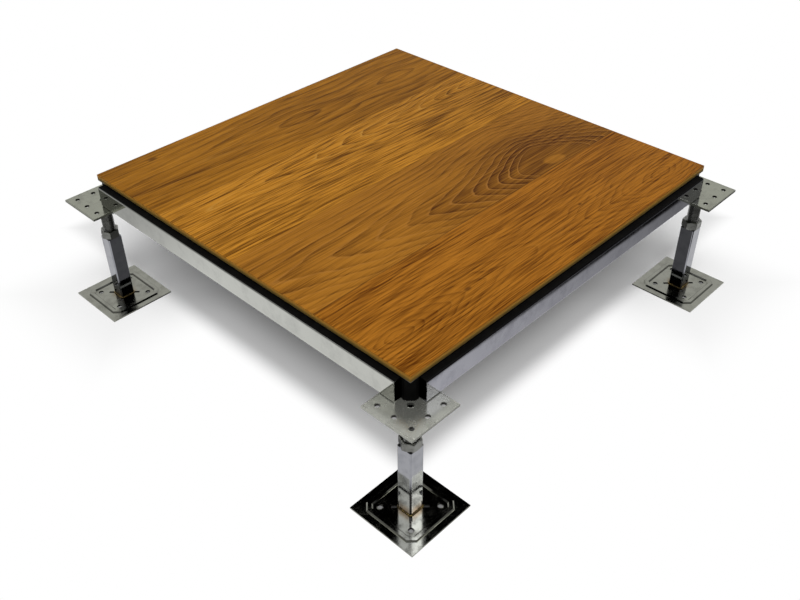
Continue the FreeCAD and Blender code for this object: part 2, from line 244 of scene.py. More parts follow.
# Ring distance = (across^n + depth^n)^(1/n). Depth grows as the inverse hyperbolic sine of the way along the
# board from the nearer of two hearts and wanders a little, so lines close into ovals there and form pointed
# arches beyond. Inside the first ring the wood is plain
def oakFigure(form):
    tree, given, out = newGroup(
        "oakFigure",
        ("Heart X", "Second X", "Heart Y", "Lean", "Depth", "Reach", "Wander", "First", "Ring", "Ripple",
         "Seed"),
        ("Late", "Early", "Streak", "Pores", "Patch", "Heart", "Core"))
    x, y = axesOf(tree, given["Vector"])[:2]
    seed, power = given["Seed"], form["archPower"]

    def stretched(alongScale, acrossScale, shift):
        return put(tree, "ShaderNodeCombineXYZ", {0: sums(tree, "MULTIPLY", x, alongScale),
                                                  1: sums(tree, "MULTIPLY", y, acrossScale),
                                                  2: sums(tree, "ADD", seed, shift)}).outputs[0]

    def swing(scales, reach):
        return sums(tree, "MULTIPLY", sums(tree, "SUBTRACT", noise(tree, stretched(*scales)), 0.5), reach)

    along = sums(tree, "SUBTRACT", x, given["Heart X"])
    across = sums(tree, "SUBTRACT", sums(tree, "SUBTRACT", y, given["Heart Y"]),
                  sums(tree, "MULTIPLY", along, given["Lean"]))
    across = sums(tree, "ADD", across, swing(form["drift"], form["driftWide"]))
    across = sums(tree, "ADD", across, swing(form["shiver"], form["shiverWide"]))
    nearer = sums(tree, "MINIMUM", sums(tree, "ABSOLUTE", along), awayFrom(tree, x, given["Second X"]))
    span = sums(tree, "DIVIDE", nearer, given["Reach"])
    hill = sums(tree, "ADD", span, sums(tree, "SQRT", sums(tree, "MULTIPLY_ADD", span, span, 1.0)))
    depth = sums(tree, "MULTIPLY_ADD", sums(tree, "LOGARITHM", hill, math.e), given["Depth"],
                 swing(form["roam"], given["Wander"]))
    ringFar = sums(tree, "ADD", sums(tree, "POWER", sums(tree, "ABSOLUTE", across), power),
                   sums(tree, "POWER", sums(tree, "ABSOLUTE", depth), power))
    ringFar = sums(tree, "POWER", ringFar, 1 / power)
    ringAt = sums(tree, "DIVIDE", sums(tree, "SUBTRACT", ringFar, given["First"]), given["Ring"])
    ringAt = sums(tree, "MAXIMUM", ringAt, form["plainAt"])
    ripple = sums(tree, "MULTIPLY", given["Ripple"], between(tree, ringAt, form["plainAt"], 1.0))
    ringAt = sums(tree, "ADD", ringAt, swing(form["ripple"], ripple))
    ringPart = sums(tree, "FRACT", ringAt)
    lateRamp = put(tree, "ShaderNodeValToRGB", {0: ringPart})
    stops = lateRamp.color_ramp.elements
    stops[0].position, stops[1].position = 0.0, 1.0
    for part, level in form["late"]:
        stop = stops[0] if part == 0.0 else stops[-1] if part == 1.0 else stops.new(part)
        stop.color = grey(level)
    ringName = sums(tree, "ADD", sums(tree, "FLOOR", ringAt), seed)
    ringOwn = put(tree, "ShaderNodeTexWhiteNoise", {"W": ringName}, noise_dimensions="1D").outputs[0]
    ringOwn = sums(tree, "MULTIPLY_ADD", ringOwn, 1.0 - form["weakest"], form["weakest"])
    late = sums(tree, "MULTIPLY", lateRamp.outputs[0], ringOwn)
    early = between(tree, ringPart, *form["early"], 1.0, 0.0)   # pale line beside the dark one
    early = sums(tree, "MULTIPLY", early, ringOwn)
    streak = 0.0
    for scales, detail, rough, share in form["streaks"]:
        fibre = noise(tree, stretched(*scales), 1.0, detail, rough)
        streak = sums(tree, "MULTIPLY_ADD", fibre, share, streak)
    poreField = between(tree, noise(tree, stretched(*form["pores"])), *form["poreEdge"])
    inRing = sums(tree, "MULTIPLY_ADD", lateRamp.outputs[0], 1.0 - form["poreLeast"], form["poreLeast"])
    pores = sums(tree, "MULTIPLY", poreField, inRing)
    scales, detail, rough = form["threads"]                     # long thin dark fibres
    threads = noise(tree, stretched(*scales), 1.0, detail, rough)
    threads = between(tree, threads, *form["threadEdge"], 0.0, form["threadShare"])
    coreFar = distance(tree, across, sums(tree, "MULTIPLY", along, form["coreLong"]))
    results = {"Late": late, "Early": early, "Streak": streak, "Pores": sums(tree, "MAXIMUM", pores, threads),
               "Patch": noise(tree, stretched(*form["patch"])),
               "Heart": between(tree, ringFar, *form["heartReach"], 1.0, 0.0),
               "Core": between(tree, coreFar, *form["coreReach"], 1.0, 0.0)}
    for title, value in results.items():
        tree.links.new(value, out[title])
    return tree


oakTree = oakFigure(oakForm)
boardTop = cadHigh.z
# Lengths in metres. start, line, fibre, patch, heartShade and core are shares of the dark tone; knots are x,
# y, size and depth of tone
boards = {
    "plank_1": {"heart": (-0.262, -0.243), "second": 0.245, "lean": -0.04, "depth": 0.024, "reach": 0.060,
                "wander": 0.022, "first": 0.004, "ring": 0.0058, "ripple": 0.9, "seed": 2.0,
                "light": (170, 109, 32), "dark": (84, 42, 2), "pale": (176, 122, 50),
                "start": 0.29, "line": 0.36, "glint": 0.15, "fibre": 4.4, "patch": 1.0,
                "heartShade": 0.0, "core": 0.0, "seam": 0.4,
                "knots": ((-0.145, -0.245, 0.005, 0.7), (0.097, -0.232, 0.003, 0.8))},
    "plank_2": {"heart": (0.172, -0.136), "second": 0.172, "lean": -0.13, "depth": 0.0445, "reach": 0.060,
                "wander": 0.010, "first": 0.043, "ring": 0.0078, "ripple": 0.5, "seed": 5.0,
                "light": (166, 110, 35), "dark": (74, 38, 4), "pale": (182, 126, 58),
                "start": 0.14, "line": 0.46, "glint": 0.70, "fibre": 2.8, "patch": 0.9,
                "heartShade": 0.54, "core": 0.46, "seam": 0.85,
                "knots": ()},
    "plank_3": {"heart": (0.340, 0.113), "second": 0.340, "lean": 0.0, "depth": 0.036, "reach": 0.200,
                "wander": 0.012, "first": 0.010, "ring": 0.0054, "ripple": 0.9, "seed": 9.0,
                "light": (192, 130, 40), "dark": (90, 50, 3), "pale": (204, 150, 66),
                "start": 0.23, "line": 0.58, "glint": 0.60, "fibre": 5.6, "patch": 1.0,
                "heartShade": 0.0, "core": 0.0, "seam": 0.4,
                "knots": ((-0.101, 0.071, 0.016, 0.25), (0.019, 0.077, 0.016, 0.25))},
    "plank_4": {"heart": (0.007, 0.222), "second": 0.217, "lean": 0.0, "depth": 0.012, "reach": 0.030,
                "wander": 0.003, "first": 0.014, "ring": 0.0140, "ripple": 0.8, "seed": 14.0,
                "light": (174, 116, 31), "dark": (84, 46, 2), "pale": (176, 124, 50),
                "start": 0.25, "line": 0.42, "glint": 0.30, "fibre": 3.1, "patch": 1.0,
                "heartShade": 0.06, "core": 0.0, "seam": 0.4,
                "knots": ((-0.222, 0.280, 0.007, 0.7),)},
}


def boardMaterial(name, board, form):
    material, tree, shader, place = newMaterial(name + "Oak", **{"Specular IOR Level": form["gloss"]})
    heartX, heartY = board["heart"]
    figure = useGroup(tree, oakTree, place, {
        "Heart X": heartX, "Second X": board["second"], "Heart Y": heartY, "Lean": board["lean"],
        "Depth": board["depth"], "Reach": board["reach"], "Wander": board["wander"], "First": board["first"],
        "Ring": board["ring"], "Ripple": board["ripple"], "Seed": board["seed"]})
    streak, pores, heart = figure["Streak"], figure["Pores"], figure["Heart"]
    tone = sums(tree, "MULTIPLY_ADD", figure["Late"], board["line"], board["start"])
    tone = sums(tree, "MULTIPLY_ADD", sums(tree, "SUBTRACT", streak, 0.5), board["fibre"], tone)
    tone = sums(tree, "MULTIPLY_ADD", sums(tree, "SUBTRACT", figure["Patch"], 0.5), board["patch"], tone)
    tone = sums(tree, "MULTIPLY_ADD", heart, board["heartShade"], tone)
    tone = sums(tree, "MULTIPLY_ADD", figure["Core"], -board["core"], tone)
    tone = sums(tree, "MAXIMUM", sums(tree, "MINIMUM", tone, 1.0), 0.0)
    colour = mixColour(tree, tone, screen(*board["light"]), screen(*board["dark"]))
    glint = sums(tree, "MULTIPLY_ADD", heart, 1.0 - form["glintLeast"], form["glintLeast"])
    glint = sums(tree, "MULTIPLY", sums(tree, "MULTIPLY", figure["Early"], glint), board["glint"])
    colour = mixColour(tree, glint, colour, screen(*board["pale"]))
    poreShade = sums(tree, "MULTIPLY", pores, form["poreShare"])
    colour = mixColour(tree, poreShade, colour, screen(*form["poreTone"]))
    x, y, z = axesOf(tree, place)
    for knotX, knotY, size, deep in board["knots"]:
        far = distance(tree, sums(tree, "DIVIDE", sums(tree, "SUBTRACT", x, knotX), size * form["knotLong"]),
                       sums(tree, "DIVIDE", sums(tree, "SUBTRACT", y, knotY), size))
        ragged = sums(tree, "MULTIPLY_ADD", streak, form["knotRagged"], far)
        knot = between(tree, ragged, *form["knotEdge"], deep, 0.0)
        colour = mixColour(tree, knot, colour, screen(*form["knotTone"]))
    low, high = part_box(name)
    edgeFar = sums(tree, "MINIMUM", sums(tree, "SUBTRACT", y, low.y), sums(tree, "SUBTRACT", high.y, y))
    seam = between(tree, edgeFar, *form["seamEdge"], board["seam"], 0.0)  # dark line where two boards meet
    colour = mixColour(tree, seam, colour, screen(*form["seamTone"]))
    below = between(tree, z, *(boardTop - deep for deep in form["edgeDeep"]), 1.0, 0.0)
    backing = between(tree, z, *(boardTop - deep for deep in form["backingDeep"]), 1.0, 0.0)
    edgeColour = mixColour(tree, backing, screen(*form["edgeTone"]), screen(*form["backingTone"]))
    edgeStreak = sums(tree, "MULTIPLY", streak, form["edgeShare"])
    edgeColour = mixColour(tree, edgeStreak, edgeColour, screen(*form["edgeStreak"]))
    colour = mixColour(tree, below, colour, edgeColour)
    tree.links.new(colour, shader["Base Color"])
    smoothest, rougher = form["rough"]
    tree.links.new(sums(tree, "MULTIPLY_ADD", streak, rougher, smoothest), shader["Roughness"])
    addBump(tree, shader, sums(tree, "MULTIPLY_ADD", pores, -1.0, streak), form["bump"], form["bumpDeep"])
    return material


for name, board in boards.items():
    dress(boardMaterial(name, board, oakForm), name)
print("boards: oak figure on", len(boards))


# Plated steel: soft waves left by rolling, smears that dull the plate, fine grain. wave and smear are a
# noise's detail and roughness; roughShares are of smear and grain, toneShares of smear and wave
plateForm = {"wave": (2.0, 0.45), "smear": (4.0, 0.62), "smearEdge": (0.42, 0.70), "grain": 900.0,
             "roughShares": (0.7, 0.3), "toneShares": (0.55, 0.45), "bumpDeep": 0.001}


def platedSteel(form):
    tree, given, out = newGroup("platedSteel", ("Waves", "Smears"), ("Rough", "Tone", "Height"))
    wave = noise(tree, given["Vector"], given["Waves"], *form["wave"])
    smear = noise(tree, given["Vector"], given["Smears"], *form["smear"])
    smear = between(tree, smear, *form["smearEdge"])
    grain = noise(tree, given["Vector"], form["grain"])
    for title, second, shares in (("Rough", grain, form["roughShares"]), ("Tone", wave, form["toneShares"])):
        part = sums(tree, "MULTIPLY", second, shares[1])
        tree.links.new(sums(tree, "MULTIPLY_ADD", smear, shares[0], part), out[title])
    tree.links.new(wave, out["Height"])
    return tree


steelTree = platedSteel(plateForm)
# rough is the smoothest roughness and what smears add to it; metal is 1 where none is given
steels = {
    "stringerSteel": {"clean": (186, 187, 181), "dull": (166, 167, 162), "rough": (0.03, 0.05),
                      "waves": 26.0, "smears": 34.0, "bump": 0.03},
    # a darker, bluer copy of the stringer steel for the front and back stringers: painted shade
    "shadedCrossSteel": {"clean": (175, 175, 183), "dull": (155, 155, 165), "rough": (0.03, 0.05),
                   "waves": 26.0, "smears": 34.0, "bump": 0.03},
    "headSteel": {"clean": (146, 148, 135), "dull": (118, 119, 109), "rough": (0.12, 0.20),
                  "waves": 60.0, "smears": 75.0, "bump": 0.06},
    # a lighter, less metallic copy of the head steel, for the near head plate: painted light
    "litHeadSteel": {"clean": (164, 165, 157), "dull": (136, 137, 130), "rough": (0.15, 0.22),
                      "waves": 60.0, "smears": 75.0, "bump": 0.06, "metal": 0.74},
    "baseSteel": {"clean": (142, 143, 134), "dull": (112, 112, 104), "rough": (0.10, 0.18),
                  "waves": 55.0, "smears": 60.0, "bump": 0.06},
    "tubeSteel": {"clean": (150, 151, 156), "dull": (130, 131, 137), "rough": (0.05, 0.08),
                  "waves": 70.0, "smears": 80.0, "bump": 0.04},
    "studSteel": {"clean": (132, 132, 130), "dull": (96, 96, 94), "rough": (0.16, 0.20),
                  "waves": 120.0, "smears": 160.0, "bump": 0.03},
    "nutSteel": {"clean": (124, 125, 121), "dull": (88, 88, 84), "rough": (0.09, 0.14),
                 "waves": 90.0, "smears": 130.0, "bump": 0.05},
    "sheetSteel": {"clean": (120, 121, 118), "dull": (92, 92, 90), "rough": (0.28, 0.20),
                   "waves": 40.0, "smears": 60.0, "bump": 0.05},
}


# Roughness and bump of a steel; its colour is left to the caller, who gets the mask of the dull places
def steelMaterial(name, steel):
    material, tree, shader, place = newMaterial(name, Metallic=steel.get("metal", 1.0))
    plate = useGroup(tree, steelTree, place, {"Waves": steel["waves"], "Smears": steel["smears"]})
    smoothest, rougher = steel["rough"]
    tree.links.new(sums(tree, "MULTIPLY_ADD", plate["Rough"], rougher, smoothest), shader["Roughness"])
    addBump(tree, shader, plate["Height"], steel["bump"], plateForm["bumpDeep"])
    return material, tree, shader, place, plate["Tone"]


# Brown heat tint round the tube's foot: far = distance from the nearest pedestal's axis, the same at all four
tintForm = {"reach": (0.0105, 0.0215), "brown": (104, 82, 48), "amount": 0.55, "ragged": 0.008,
            "spots": 160.0, "height": (0.006, 0.020)}


def heatTint(tree, place, colour, pedestal, form):
    x, y, z = foldedAxes(tree, place)
    far = distance(tree, awayFrom(tree, x, pedestal), awayFrom(tree, y, pedestal))
    ragged = sums(tree, "MULTIPLY_ADD", noise(tree, place, form["spots"], 3.0), form["ragged"],
                  sums(tree, "ADD", far, -form["ragged"] / 2))
    low = between(tree, z, *form["height"], 1.0, 0.0)
    mask = sums(tree, "MULTIPLY", between(tree, ragged, *form["reach"], form["amount"], 0.0), low)
    return mixColour(tree, mask, colour, screen(*form["brown"]))


# Painted shade on the hole walls: across = distance to the nearest point of the plate's square hole pattern
holeShadeForm = {"tone": (34, 33, 30), "soft": 0.0003, "patternHalf": 0.030, "cornerGap": 0.012,
            "plates": {"headSteel": {"pitch": 0.025, "first": 0.0, "radius": 0.0031},
                       "litHeadSteel": {"pitch": 0.025, "first": 0.0, "radius": 0.0031},
                       "baseSteel": {"pitch": 0.050, "first": 0.025, "radius": 0.0034}}}


def shadedHoleWalls(tree, place, colour, pedestal, form, plate):
    pitch, first, radius = plate["pitch"], plate["first"], plate["radius"]
    outward = [sums(tree, "SUBTRACT", axis, pedestal) for axis in foldedAxes(tree, place)[:2]]
    ahead = 4 * pitch - first                                   # whole pitches more keep it above 0
    steps = [sums(tree, "PINGPONG", sums(tree, "ADD", axis, ahead), pitch / 2) for axis in outward]
    across = distance(tree, *steps)
    mask = between(tree, across, radius, radius + form["soft"], 1.0, 0.0)
    near = sums(tree, "MAXIMUM", *(sums(tree, "ABSOLUTE", axis) for axis in outward))
    inner = sums(tree, "MAXIMUM", *outward)                     # no hole at the corner under the panel
    keep = sums(tree, "MULTIPLY", sums(tree, "LESS_THAN", near, form["patternHalf"]),
                sums(tree, "GREATER_THAN", inner, -2 * first - form["cornerGap"]))
    return mixColour(tree, sums(tree, "MULTIPLY", mask, keep), colour, screen(*form["tone"]))


# Painted shade on the stringers' top faces, reaching a little way down the sides of the front and back
# stringers
topShadeForm = {"tone": (16, 16, 16), "deep": {"stringerSteel": 0.0006, "shadedCrossSteel": 0.0026}}


def paintedTopShade(tree, place, colour, top, form, deep):
    mask = between(tree, axesOf(tree, place)[2], top - deep, top - deep / 3)
    return mixColour(tree, mask, colour, screen(*form["tone"]))


pedestalFar = middle("stud_front_right").x
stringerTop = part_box("stringer_front")[1].z
metals = {}
for name, steel in steels.items():
    material, tree, shader, place, dull = steelMaterial(name, steel)
    colour = mixColour(tree, dull, screen(*steel["clean"]), screen(*steel["dull"]))
    if name in ("baseSteel", "tubeSteel"):
        colour = heatTint(tree, place, colour, pedestalFar, tintForm)
    # Painted shade on the plates' hole walls
    if name in holeShadeForm["plates"]:
        colour = shadedHoleWalls(tree, place, colour, pedestalFar, holeShadeForm, holeShadeForm["plates"][name])
    # Painted shade on the stringers' top faces
    if name in topShadeForm["deep"]:
        colour = paintedTopShade(tree, place, colour, stringerTop, topShadeForm, topShadeForm["deep"][name])
    tree.links.new(colour, shader["Base Color"])
    metals[name] = material
dress(metals["stringerSteel"], "stringer_left", "stringer_right")
# The front and back stringers take the darker copy of the stringer steel: painted shade
dress(metals["shadedCrossSteel"], "stringer_front", "stringer_back")
headFinish = {corner: metals["headSteel"] for corner in corners}
# The near head plate takes the lighter copy of the head steel: painted light
headFinish["front_left"] = metals["litHeadSteel"]
for corner in corners:
    dress(headFinish[corner], "head_plate_" + corner)
dress(metals["baseSteel"], *("base_plate_" + corner for corner in corners))
dress(metals["tubeSteel"], *("base_tube_" + corner for corner in corners))
dress(metals["sheetSteel"], "top_sheet")
print("plated steel:", len(metals), "finishes")


# Black and grey parts: one fine-grained skin, each with its own colour, grain and gloss. dust and grain here
# are a noise's detail and roughness
skinForm = {"dust": (4.0, 0.6), "dustEdge": (0.45, 0.75), "grain": (3.0, 0.6), "bumpDeep": 0.0002}


def grainySkin(form):
    tree, given, out = newGroup("grainySkin", ("Grain", "Dust"), ("Dusty", "Height"))
    dust = noise(tree, given["Vector"], given["Dust"], *form["dust"])
    tree.links.new(between(tree, dust, *form["dustEdge"]), out["Dusty"])
    tree.links.new(noise(tree, given["Vector"], given["Grain"], *form["grain"]), out["Height"])
    return tree


skinTree = grainySkin(skinForm)
skins = {
    "panPaint": {"base": (3, 3, 3), "dusty": (9, 9, 9), "rough": (0.42, 0.20), "gloss": 0.02,
                 "grain": 1400.0, "dust": 30.0, "bump": 0.25},
    "gasketRubber": {"base": (6, 6, 6), "dusty": (15, 15, 14), "rough": (0.62, 0.20), "gloss": 0.03,
                     "grain": 2200.0, "dust": 60.0, "bump": 0.30},
    "footPlastic": {"base": (6, 6, 6), "dusty": (14, 14, 14), "rough": (0.50, 0.18), "gloss": 0.07,
                    "grain": 1800.0, "dust": 80.0, "bump": 0.20},
    "coreCement": {"base": (150, 147, 140), "dusty": (118, 115, 108), "rough": (0.85, 0.10), "gloss": 0.20,
                   "grain": 500.0, "dust": 90.0, "bump": 0.60},
}
skinMaterials = {}
for name, skin in skins.items():
    material, tree, shader, place = newMaterial(name, **{"Specular IOR Level": skin["gloss"]})
    surface = useGroup(tree, skinTree, place, {"Grain": skin["grain"], "Dust": skin["dust"]})
    colour = mixColour(tree, surface["Dusty"], screen(*skin["base"]), screen(*skin["dusty"]))
    tree.links.new(colour, shader["Base Color"])
    smoothest, rougher = skin["rough"]
    tree.links.new(sums(tree, "MULTIPLY_ADD", surface["Dusty"], rougher, smoothest), shader["Roughness"])
    addBump(tree, shader, surface["Height"], skin["bump"], skinForm["bumpDeep"])
    skinMaterials[name] = material
dress(skinMaterials["panPaint"], "bottom_pan")
dress(skinMaterials["gasketRubber"], *("gasket_" + side for side in sides))
dress(skinMaterials["footPlastic"], *("corner_foot_" + corner for corner in corners))
dress(skinMaterials["coreCement"], "cement_core")
print("skins:", ", ".join(skins))

# Threaded rods in place of the plain CAD rods, in mm; rootFlat and flank are shares of half a pitch
studForm = {"crest": 8.75, "root": 7.65, "pitch": 2.0, "rootFlat": 0.25, "flank": 0.625, "rowsPerTurn": 10,
            "columns": 40, "tipBevel": 1.2, "boreRadius": 3.7, "boreDeep": 14.0}


# Rows run down the rod, columns round it. Radius = root + depth x a flat-topped triangle wave of
# (height / pitch - angle / full turn), so the ridge climbs one pitch a turn; a cone bevels both ends
def threadedRod(centre, low, high, form):
    angle = roundSteps(form["columns"])
    height = np.linspace(high, low, int((high - low) / form["pitch"] * form["rowsPerTurn"]) + 1)[:, None]
    climb = (height / form["pitch"] - angle / fullTurn) % 1
    ridge = np.clip((1 - np.abs(2 * climb - 1) - form["rootFlat"]) / form["flank"], 0, 1)
    radius = form["root"] + (form["crest"] - form["root"]) * ridge
    fromEnd = np.minimum(height - low, high - height)
    radius = np.minimum(radius, form["crest"] - form["tipBevel"] + fromEnd)
    flat = np.ones((1, form["columns"]))
    bore = form["boreRadius"] * flat
    radius = np.concatenate([0 * flat, bore, bore, radius, 0 * flat])
    boreFloor = high - form["boreDeep"]
    height = np.concatenate([[[boreFloor], [boreFloor], [high]], height, [[low]]])
    return roundGrid(centre, radius, height, angle)


for corner in corners:
    low, high = (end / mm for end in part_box("stud_" + corner))
    rod = threadedRod((low + high) / 2, low.z, high.z, studForm)
    piece = buildPiece("threaded_rod_" + corner, [rod], "deck", metals["studSteel"])
    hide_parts("stud_" + corner)
print("threaded rods:", len(corners))

# Hexagon nuts, in mm: these level the floor, smaller ones hold the stringers. steps are depths below a face,
# as shares of the width over flats
nutForm = {"flats": 24.0, "bore": 8.87, "faceRound": 11.3, "rise": 0.58, "countersink": 0.9, "columns": 72,
           "steps": (0, 0.006, 0.016, 0.03, 0.045, 0.06, 0.08)}
nutSharpAt = 24


# Outline at an angle = half the flats / cos(angle off the flat's middle), cut by a cone near both faces:
# cone radius = face round + depth below the face / rise. Rows go down the outside and back up the bore
def hexNut(centre, low, high, form, turn=0.0):
    angle = roundSteps(form["columns"]) + turn
    offFlat = (angle - turn) % (fullTurn / 6) - fullTurn / 12
    hexagon = form["flats"] / 2 / np.cos(offFlat)
    depth = np.array(form["steps"]) * form["flats"]
    depth = np.concatenate([depth, high - low - depth[::-1]])[:, None]
    cone = form["faceRound"] + np.minimum(depth, high - low - depth) / form["rise"]
    bore, sink = form["bore"], form["countersink"]
    inside = np.array([bore + sink, bore, bore, bore + sink])[:, None] + 0 * angle
    radius = np.concatenate([np.minimum(hexagon, cone), inside])
    height = np.concatenate([high - depth, np.array([[low], [low + sink], [high - sink], [high]])])
    return roundGrid(centre, radius, height, angle)


for corner in corners:
    low, high = (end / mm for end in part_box("levelling_nut_" + corner))
    turn = 0.0 if high.x - low.x > high.y - low.y else fullTurn / 12  # a corner of the hexagon at this angle
    nut = hexNut((low + high) / 2, low.z, high.z, nutForm, turn)
    piece = buildPiece("hexagon_nut_" + corner, [nut], "nut_" + corner, metals["nutSteel"],
                       ring=True, sharpAt=nutSharpAt)
    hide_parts("levelling_nut_" + corner)
print("levelling nuts:", len(corners))

# Screws that hold the stringers, under each head plate, in mm
screwForm = {"inward": 25.0, "nutHigh": 5.0, "shank": 2.9, "below": 3.0, "tipBevel": 0.8, "washer": 6.4,
             "washerHigh": 1.0, "washerBevel": 0.2,
             "nut": {"flats": 10.0, "bore": 2.95, "faceRound": 4.75, "rise": 0.58, "countersink": 0.4,
                     "columns": 48, "steps": nutForm["steps"]}}


# Turned parts: rows follow a radius and height list, columns go round
def turned(centre, outline, columns=32):
    radius, height = np.array(outline).T[:, :, None]
    return roundGrid(centre, radius, height, roundSteps(columns))


nuts, shanks, washers = [], [], []
for corner in corners:
    head = middle("head_plate_" + corner) / mm
    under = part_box("head_plate_" + corner)[0].z / mm
    nutTop = under - screwForm["washerHigh"]
    nutLow = nutTop - screwForm["nutHigh"]
    tip = nutLow - screwForm["below"]
    shank, tipBevel = screwForm["shank"], screwForm["tipBevel"]
    washer, edge = screwForm["washer"], screwForm["washerBevel"]
    for stepX, stepY in ((1, 0), (0, 1)):
        inward = Vector((-math.copysign(stepX, head.x), -math.copysign(stepY, head.y), 0))
        spot = head + inward * screwForm["inward"]
        nuts.append(hexNut(spot, nutLow, nutTop, screwForm["nut"]))
        shanks.append(turned(spot, [(0, under), (shank, under), (shank, tip + tipBevel),
                                    (shank - tipBevel, tip), (0, tip)]))
        washers.append(turned(spot, [(0, under), (washer - edge, under), (washer, under - edge),
                                     (washer, nutTop + edge), (washer - edge, nutTop), (0, nutTop)]))
buildPiece("stringer_nuts", nuts, "deck", metals["nutSteel"], ring=True, sharpAt=nutSharpAt)
buildPiece("stringer_screws", shanks, "deck", metals["studSteel"])
buildPiece("stringer_washers", washers, "deck", metals["nutSteel"])
print("stringer screws:", len(nuts))

# Weld beads round the tubes' feet, in mm; waver makes the ripples uneven
beadForm = {"radius": 1.5, "ripple": 0.30, "ripples": 34, "waver": 1.4, "wavers": 3, "columns": 14,
            "rows": 272, "square": 12.0, "sunk": 1.2, "straw": (140, 120, 72), "burnt": (86, 76, 54),
            "spots": 220.0, "burnEdge": (0.35, 0.65)}


# A square softened at its corners, as a share of the half side: (|cos|^n + |sin|^n)^(-1/n) at each angle
def squareReach(along, power):
    return (np.abs(np.cos(along)) ** power + np.abs(np.sin(along)) ** power) ** (-1 / power)


# Path: the softened square. Across it a circle whose radius swells and shrinks along the path, centred where
# tube and plate meet
def weldBead(centre, halfSide, face, form):
    along = roundSteps(form["rows"])[:, None]
    cosine, sine, power = np.cos(along), np.sin(along), form["square"]
    reach = halfSide * squareReach(along, power)
    outX = np.sign(cosine) * np.abs(cosine) ** (power - 1)
    outY = np.sign(sine) * np.abs(sine) ** (power - 1)
    length = np.sqrt(outX ** 2 + outY ** 2)
    around = roundSteps(form["columns"])
    uneven = form["waver"] * np.sin(form["wavers"] * along)
    bead = form["radius"] + form["ripple"] * np.sin(form["ripples"] * along + uneven)
    x = centre[0] + reach * cosine + outX / length * bead * np.cos(around)
    y = centre[1] + reach * sine + outY / length * bead * np.cos(around)
    z = np.maximum(face + bead * np.sin(around), face - form["sunk"])
    return np.stack([x, y, z], axis=-1)


beadMaterial, tree, shader, place = steelMaterial("weldSteel", steels["baseSteel"])[:4]
burn = between(tree, noise(tree, place, beadForm["spots"], 3.0), *beadForm["burnEdge"])
beadColour = mixColour(tree, burn, screen(*beadForm["straw"]), screen(*beadForm["burnt"]))
tree.links.new(beadColour, shader["Base Color"])
for corner in corners:
    tubeLow, tubeHigh = (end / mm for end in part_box("base_tube_" + corner))
    bead = weldBead((tubeLow + tubeHigh) / 2, (tubeHigh.x - tubeLow.x) / 2, tubeLow.z, beadForm)
    buildPiece("weld_bead_" + corner, [bead], "base_" + corner, beadMaterial, ring=True)
print("weld beads:", len(corners))

# Rounded lips that the punch left round the holes, in mm; headHoles are steps outward from the rod's axis
lipForm = {"wide": 0.8, "rise": 0.28, "columns": 10, "rows": 36, "headPitch": 25.0, "headHole": 3.0,
           "headBore": 4.0, "headHoles": ((1, -1), (1, 0), (1, 1), (0, 1), (-1, 1)), "basePitch": 25.0,
           "baseHole": 3.3}


# Ring of an oval section: radius = hole + half width (1 + cos(across)), height = face + rise sin(across)
def holeLip(centre, hole, face, form):
    along = roundSteps(form["rows"])[:, None]
    across = roundSteps(form["columns"])
    half = form["wide"] / 2
    return roundGrid(centre, hole + half + half * np.cos(across), face + form["rise"] * np.sin(across), along)


for corner in corners:
    head = middle("head_plate_" + corner) / mm
    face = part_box("head_plate_" + corner)[1].z / mm
    outX, outY = math.copysign(1, head.x), math.copysign(1, head.y)
    lips = []
    for stepX, stepY in lipForm["headHoles"]:
        outward = Vector((stepX * outX, stepY * outY, 0)) * lipForm["headPitch"]
        lips.append(holeLip(head + outward, lipForm["headHole"], face, lipForm))
    lips.append(holeLip(head, lipForm["headBore"], face, lipForm))
    buildPiece("head_hole_lips_" + corner, lips, "deck", headFinish[corner], ring=True)
    base = middle("base_plate_" + corner) / mm
    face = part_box("base_tube_" + corner)[0].z / mm
    steps = [Vector((stepX, stepY, 0)) for stepX in (-1, 1) for stepY in (-1, 1)]
    lips = [holeLip(base + step * lipForm["basePitch"], lipForm["baseHole"], face, lipForm) for step in steps]
    buildPiece("base_hole_lips_" + corner, lips, "base_" + corner, metals["baseSteel"],
               ring=True)
print("hole lips: 10 on each pedestal")

# Low rolled rim near the edge of each head plate, in mm
rimForm = {"inset": 1.3, "wide": 0.9, "rise": 0.32, "columns": 10, "rows": 240, "square": 40.0}


# Path: a nearly sharp square inside the plate's edge. Across it an oval: half width cos(across) sideways,
# rise sin(across) up
def rolledRim(centre, halfSide, face, form):
    along = roundSteps(form["rows"])[:, None]
    across = roundSteps(form["columns"])
    half = form["wide"] / 2
    radius = (halfSide - form["inset"] + half * np.cos(across)) * squareReach(along, form["square"])
    return roundGrid(centre, radius, face + form["rise"] * np.sin(across), along)


for corner in corners:
    headLow, headHigh = (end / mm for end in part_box("head_plate_" + corner))
    rim = rolledRim((headLow + headHigh) / 2, (headHigh.x - headLow.x) / 2, headHigh.z, rimForm)
    buildPiece("head_rim_" + corner, [rim], "deck", headFinish[corner], ring=True)
print("rolled rims:", len(corners))

